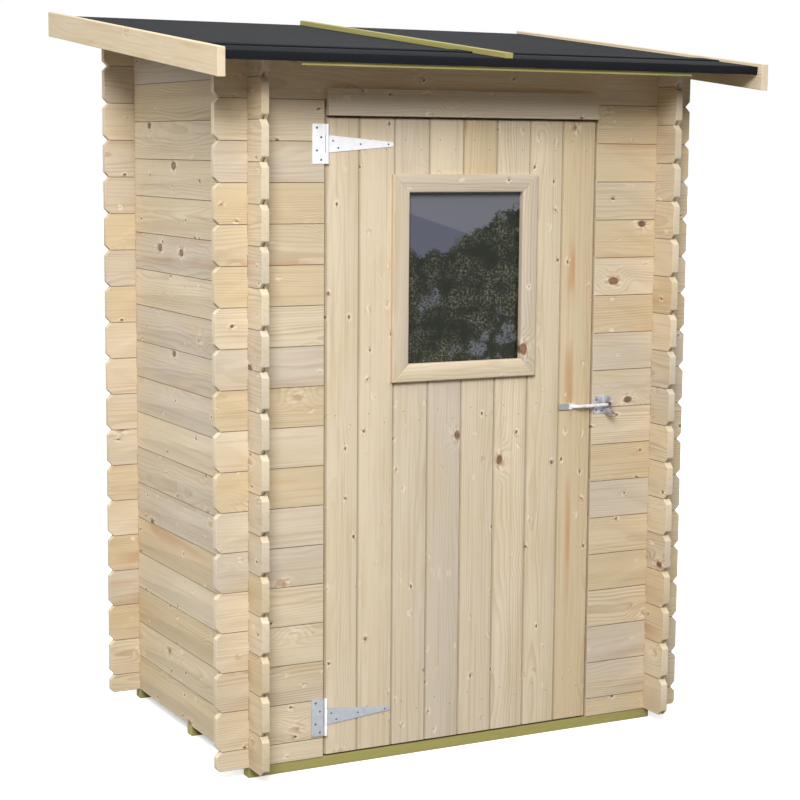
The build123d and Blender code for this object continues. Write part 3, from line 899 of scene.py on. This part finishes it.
class SHED_OT_base(bpy.types.Operator):
    """Finish the treated joists and battens and the floor boards"""

    bl_idname = "shed.base"
    bl_label = "Joists, battens and floor"

    def execute(self, context):
        settings = context.scene.shed_timber
        rounding = settings.rounding
        green = treated_material("Treated softwood", settings, settings.treated,
                                 settings.treated_dark, settings.treated_dark)
        for place in ("front", "middle", "back"):
            timber(f"joist_{place}", ACROSS, -DEEP, green, rounding)
        # The eave battens take the paler tone as painted light against the eave's shade
        fresh = treated_material("Pale treated softwood", settings, settings.batten_painted_light,
                                 settings.treated, settings.treated)
        for place in ("front", "back"):
            timber(f"eave_batten_{place}", ACROSS, -UP, fresh, rounding)
        timber("roof_batten", SLOPE, ROOF_OUT, green, rounding)
        timber("floor_boards", DEEP, UP, spruce_material("Spruce floor boards", settings),
               rounding)
        return {"FINISHED"}


class SHED_OT_door(bpy.types.Operator):
    """Finish the doorway's frame and the door leaf"""

    bl_idname = "shed.door"
    bl_label = "Doorway and door"

    def execute(self, context):
        settings = context.scene.shed_timber
        spruce = spruce_material("Planed spruce boards", settings, knot_chance=0.90, resin=1.3)
        rounding = settings.rounding
        for node in ("door_boards_odd", "door_boards_even"):
            timber(node, UP, -DEEP, spruce, rounding, DOOR_JOINT_SHADE)
        for node in ("door_post_left", "door_post_right", "window_frame_stiles",
                     "window_bead_stiles"):
            timber(node, UP, -DEEP, spruce, rounding)
        for node in ("door_head", "door_header_board", "door_ledges", "window_frame_rails",
                     "window_bead_rails"):
            timber(node, ACROSS, -DEEP, spruce, rounding)
        low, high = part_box("door_brace")
        lean = Vector((high.x - low.x - BRACE_END, 0, high.z - low.z)).normalized()
        timber("door_brace", lean, -DEEP, spruce, rounding)
        self.add_nails(context.scene.shed_steel)
        return {"FINISHED"}

    def add_nails(self, settings):
        """Two nails through each board into each ledge."""
        nail = plain_material("Nail heads", settings.nail, rough=0.5, metallic=0.3)
        levels = [(low.z + high.z) / 2 for low, high in boxes_of("door_ledges")]
        places = []
        for node in ("door_boards_odd", "door_boards_even"):
            for low, high in boxes_of(node):
                for level in levels:
                    if not low.z + NAIL_MARGIN < level < high.z - NAIL_MARGIN:
                        continue
                    for across, up in NAIL_PAIR:
                        x = low.x + (high.x - low.x) * across
                        places.append(Vector((x, low.y, level + up)))
        nail_heads("door_nails", places, "door", "door_timber", settings, nail)


class SHED_OT_window(bpy.types.Operator):
    """Finish the window pane"""

    bl_idname = "shed.window"
    bl_label = "Window pane"

    def execute(self, context):
        pane = nodes["window_glass"]
        pane.data.materials.clear()
        glass = glass_material(context.scene.shed_cover, *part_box("window_glass"))
        pane.data.materials.append(glass)
        return {"FINISHED"}


class SHED_OT_hinges(bpy.types.Operator):
    """Finish the strap hinges and add their screws"""

    bl_idname = "shed.hinges"
    bl_label = "Hinges"

    def execute(self, context):
        settings = context.scene.shed_steel
        bright = steel_material("Bright zinc", settings.bright, settings.dull, metallic=0.30,
                                rough=0.36)
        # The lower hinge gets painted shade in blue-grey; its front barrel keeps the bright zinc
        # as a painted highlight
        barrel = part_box("lower_hinge_plate")[0].y + BARREL_DEPTH
        blue = steel_material("Blue zinc", settings.blue, settings.shaded_zinc_patches, metallic=0.35,
                              rough=0.34, accent=settings.bright, axis=1, edge=barrel)
        head = plain_material("Screw heads", settings.screw, rough=0.4, metallic=0.5)
        # Painted shade for the cross recesses of the screw heads
        dark = plain_material("Screw recess", settings.slot, rough=0.6)
        for level, zinc in (("upper", bright), ("lower", blue)):
            for part in ("plate", "strap"):
                plain_piece(f"{level}_hinge_{part}", "steel", zinc, STEEL_ROUNDING)
            low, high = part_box(f"{level}_hinge_plate")
            face = low.y + LEAF_DEPTH
            middle = (low.z + high.z) / 2
            half = (high.z - low.z) / 2
            plate = [Vector((low.x + PLATE_WIDTH * across, face, middle + half * up))
                     for across, up in PLATE_SCREWS]
            screw_heads(f"{level}_plate_screws", plate, "shed", "hinge_steel", settings,
                        head, dark)
            left = high.x - STRAP_INSET
            strap = [Vector((left + STRAP_LENGTH * out, face, middle + STRAP_HALF_HEIGHT * up))
                     for out, up in STRAP_SCREWS]
            screw_heads(f"{level}_strap_screws", strap, "door", "hinge_steel", settings,
                        head, dark, STRAP_SCREW_SIZE)
        plain_piece("hinge_pins", "steel", bright)
        return {"FINISHED"}


class SHED_OT_latch(bpy.types.Operator):
    """Finish the latch bar, its catch and the hanging pawl"""

    bl_idname = "shed.latch"
    bl_label = "Latch"

    def execute(self, context):
        settings = context.scene.shed_steel
        grey = steel_material("Latch zinc", settings.latch, settings.dull, metallic=0.40,
                              rough=0.36)
        grip_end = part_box("striker_bar")[0].x + GRIP_LENGTH
        rod = steel_material("Striker zinc", settings.bright, settings.latch, metallic=0.25,
                             rough=0.34, accent=settings.grip, axis=0, edge=grip_end)
        brown = steel_material("Dull pawl steel", settings.pawl, settings.grip, metallic=0.15,
                               rough=0.50)
        # Painted shade for the cross recesses of the catch's screw heads
        dark = plain_material("Latch screw recess", settings.slot, rough=0.6)
        for node, finish in (("striker_bar", rod), ("latch_catch", grey), ("latch_pawl", brown)):
            plain_piece(node, "steel", finish, STEEL_ROUNDING)
        low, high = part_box("latch_catch")
        face = high.y - CATCH_THICKNESS
        middle = (low.z + high.z) / 2
        places = [Vector((low.x + across, face, middle + up)) for across, up in CATCH_SCREWS]
        head = plain_material("Latch screw heads", settings.screw, rough=0.4, metallic=0.5)
        screw_heads("catch_screws", places, "shed", "latch_steel", settings, head, dark)
        return {"FINISHED"}


class SHED_OT_roof(bpy.types.Operator):
    """Finish the roof boards, the felt and the barge boards"""

    bl_idname = "shed.roof"
    bl_label = "Roof"

    def execute(self, context):
        settings = context.scene.shed_timber
        boards = spruce_material("Spruce roof boards", settings)
        light = timber_material("Spruce barge boards", settings,
                                (settings.pale, settings.pale, settings.warm),
                                settings.late_wood, settings.joint, knot_chance=0.45)
        for count in ("odd", "even"):
            timber(f"roof_boards_{count}", SLOPE, -ROOF_OUT, boards, settings.rounding,
                   ROOF_JOINT_SHADE)
        for side, outward in (("left", -ACROSS), ("right", ACROSS)):
            timber(f"barge_board_{side}", SLOPE, outward, light, BARGE_ROUNDING)
        felt = felt_material(context.scene.shed_cover)
        for strip in ("lower", "upper"):
            plain_piece(f"felt_{strip}_strip", "sheet", felt, FELT_ROUNDING)
        return {"FINISHED"}


class SHED_OT_stage(bpy.types.Operator):
    """Add the camera, the plain floor and the soft light"""

    bl_idname = "shed.stage"
    bl_label = "Stage"

    def execute(self, context):
        settings = context.scene.shed_stage
        self.add_camera(context.scene, settings)
        self.add_floor(context.scene, settings)
        self.add_sky(context.scene, settings)
        for name, (place, size) in LAMPS.items():
            self.add_lamp(context.scene, f"{name}_light", Vector(place), size,
                          getattr(settings, name))
        context.scene.view_settings.view_transform = "Standard"
        return {"FINISHED"}

    def add_camera(self, scene, settings):
        """A camera that looks ahead, turned by its yaw, dip and roll."""
        data = bpy.data.cameras.new("camera")
        data.sensor_fit = "HORIZONTAL"
        data.sensor_width = SENSOR_WIDTH
        data.lens = settings.lens
        camera = bpy.data.objects.new("camera", data)
        scene.collection.objects.link(camera)
        yaw, dip, roll = settings.yaw, settings.dip, settings.roll
        ahead = Vector((math.sin(yaw) * math.cos(dip), math.cos(yaw) * math.cos(dip),
                        -math.sin(dip)))
        level = Vector((math.cos(yaw), -math.sin(yaw), 0))
        down = ahead.cross(level)
        right = level * math.cos(roll) + down * math.sin(roll)
        below = down * math.cos(roll) - level * math.sin(roll)
        turn = Matrix((right, -below, -ahead)).transposed().to_4x4()
        camera.matrix_world = Matrix.Translation(settings.place) @ turn
        scene.camera = camera

    def add_floor(self, scene, settings):
        """A pale floor; as a light it sends only a dim bounce back up."""
        shape = bmesh.new()
        bmesh.ops.create_circle(shape, cap_ends=True, radius=FLOOR_RADIUS, segments=64)
        mesh = bpy.data.meshes.new("floor")
        shape.to_mesh(mesh)
        shape.free()
        floor = bpy.data.objects.new("floor", mesh)
        floor.location.z = -FLOOR_SINK
        scene.collection.objects.link(floor)
        graph = new_graph("Pale floor")
        matt = graph.add("ShaderNodeBsdfDiffuse", {"Color": settings.floor})
        glow = graph.add("ShaderNodeEmission", {"Color": settings.floor,
                                                "Strength": settings.glow})
        bright = graph.add("ShaderNodeAddShader", {0: matt, 1: glow})
        dim = graph.add("ShaderNodeBsdfDiffuse", {"Color": settings.bounce})
        mesh.materials.append(graph.close(graph.blend(graph.seen(), dim, bright)))

    def add_sky(self, scene, settings):
        """White where it is seen; as a light, bright overhead and dim near the horizon."""
        scene.world = bpy.data.worlds.new("even sky")
        graph = Graph(scene.world)
        height = graph.parts(graph.add("ShaderNodeTexCoord", {}, "Generated"))[2]
        tone = (1.0, 0.99, 0.97, 1)
        white, low, high = [
            graph.add("ShaderNodeBackground", {"Color": shade, "Strength": strength})
            for shade, strength in (((1, 1, 1, 1), 1.0), (tone, settings.horizon),
                                    (tone, settings.overhead))]
        soft = graph.blend(height.ramp(0.15, 0.85), low, high)
        graph.close(graph.blend(graph.seen(), soft, white), "ShaderNodeOutputWorld")

    def add_lamp(self, scene, name, place, size, power):
        """A round lamp aimed at the middle of the shed."""
        data = bpy.data.lights.new(name, "AREA")
        data.shape = "DISK"
        data.size = size
        data.energy = power
        lamp = bpy.data.objects.new(name, data)
        scene.collection.objects.link(lamp)
        lamp.matrix_world = facing(place, place - LAMP_TARGET)


class SHED_PT_panel(bpy.types.Panel):
    """Lists the shed's steps"""

    bl_idname = "SHED_PT_panel"
    bl_label = "Shed"
    bl_space_type = "VIEW_3D"
    bl_region_type = "UI"
    bl_category = "Shed"

    def draw(self, context):
        for step in STEPS:
            self.layout.operator(step.bl_idname)


SETTINGS = {
    "shed_timber": TimberSettings,
    "shed_steel": SteelSettings,
    "shed_cover": CoverSettings,
    "shed_stage": StageSettings,
}
STEPS = (SHED_OT_log_walls, SHED_OT_base, SHED_OT_door, SHED_OT_window, SHED_OT_hinges,
         SHED_OT_latch, SHED_OT_roof, SHED_OT_stage)


def register():
    for group in SETTINGS.values():
        bpy.utils.register_class(group)
    for step in STEPS:
        bpy.utils.register_class(step)
    bpy.utils.register_class(SHED_PT_panel)
    for name, group in SETTINGS.items():
        setattr(bpy.types.Scene, name, PointerProperty(type=group))


def unregister():
    for name in SETTINGS:
        delattr(bpy.types.Scene, name)
    bpy.utils.unregister_class(SHED_PT_panel)
    for step in reversed(STEPS):
        bpy.utils.unregister_class(step)
    for group in SETTINGS.values():
        bpy.utils.unregister_class(group)


def main():
    register()
    bpy.ops.shed.log_walls()
    bpy.ops.shed.base()
    bpy.ops.shed.door()
    bpy.ops.shed.window()
    bpy.ops.shed.hinges()
    bpy.ops.shed.latch()
    bpy.ops.shed.roof()
    bpy.ops.shed.stage()
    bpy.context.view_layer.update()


if __name__ == "__main__":
    main()
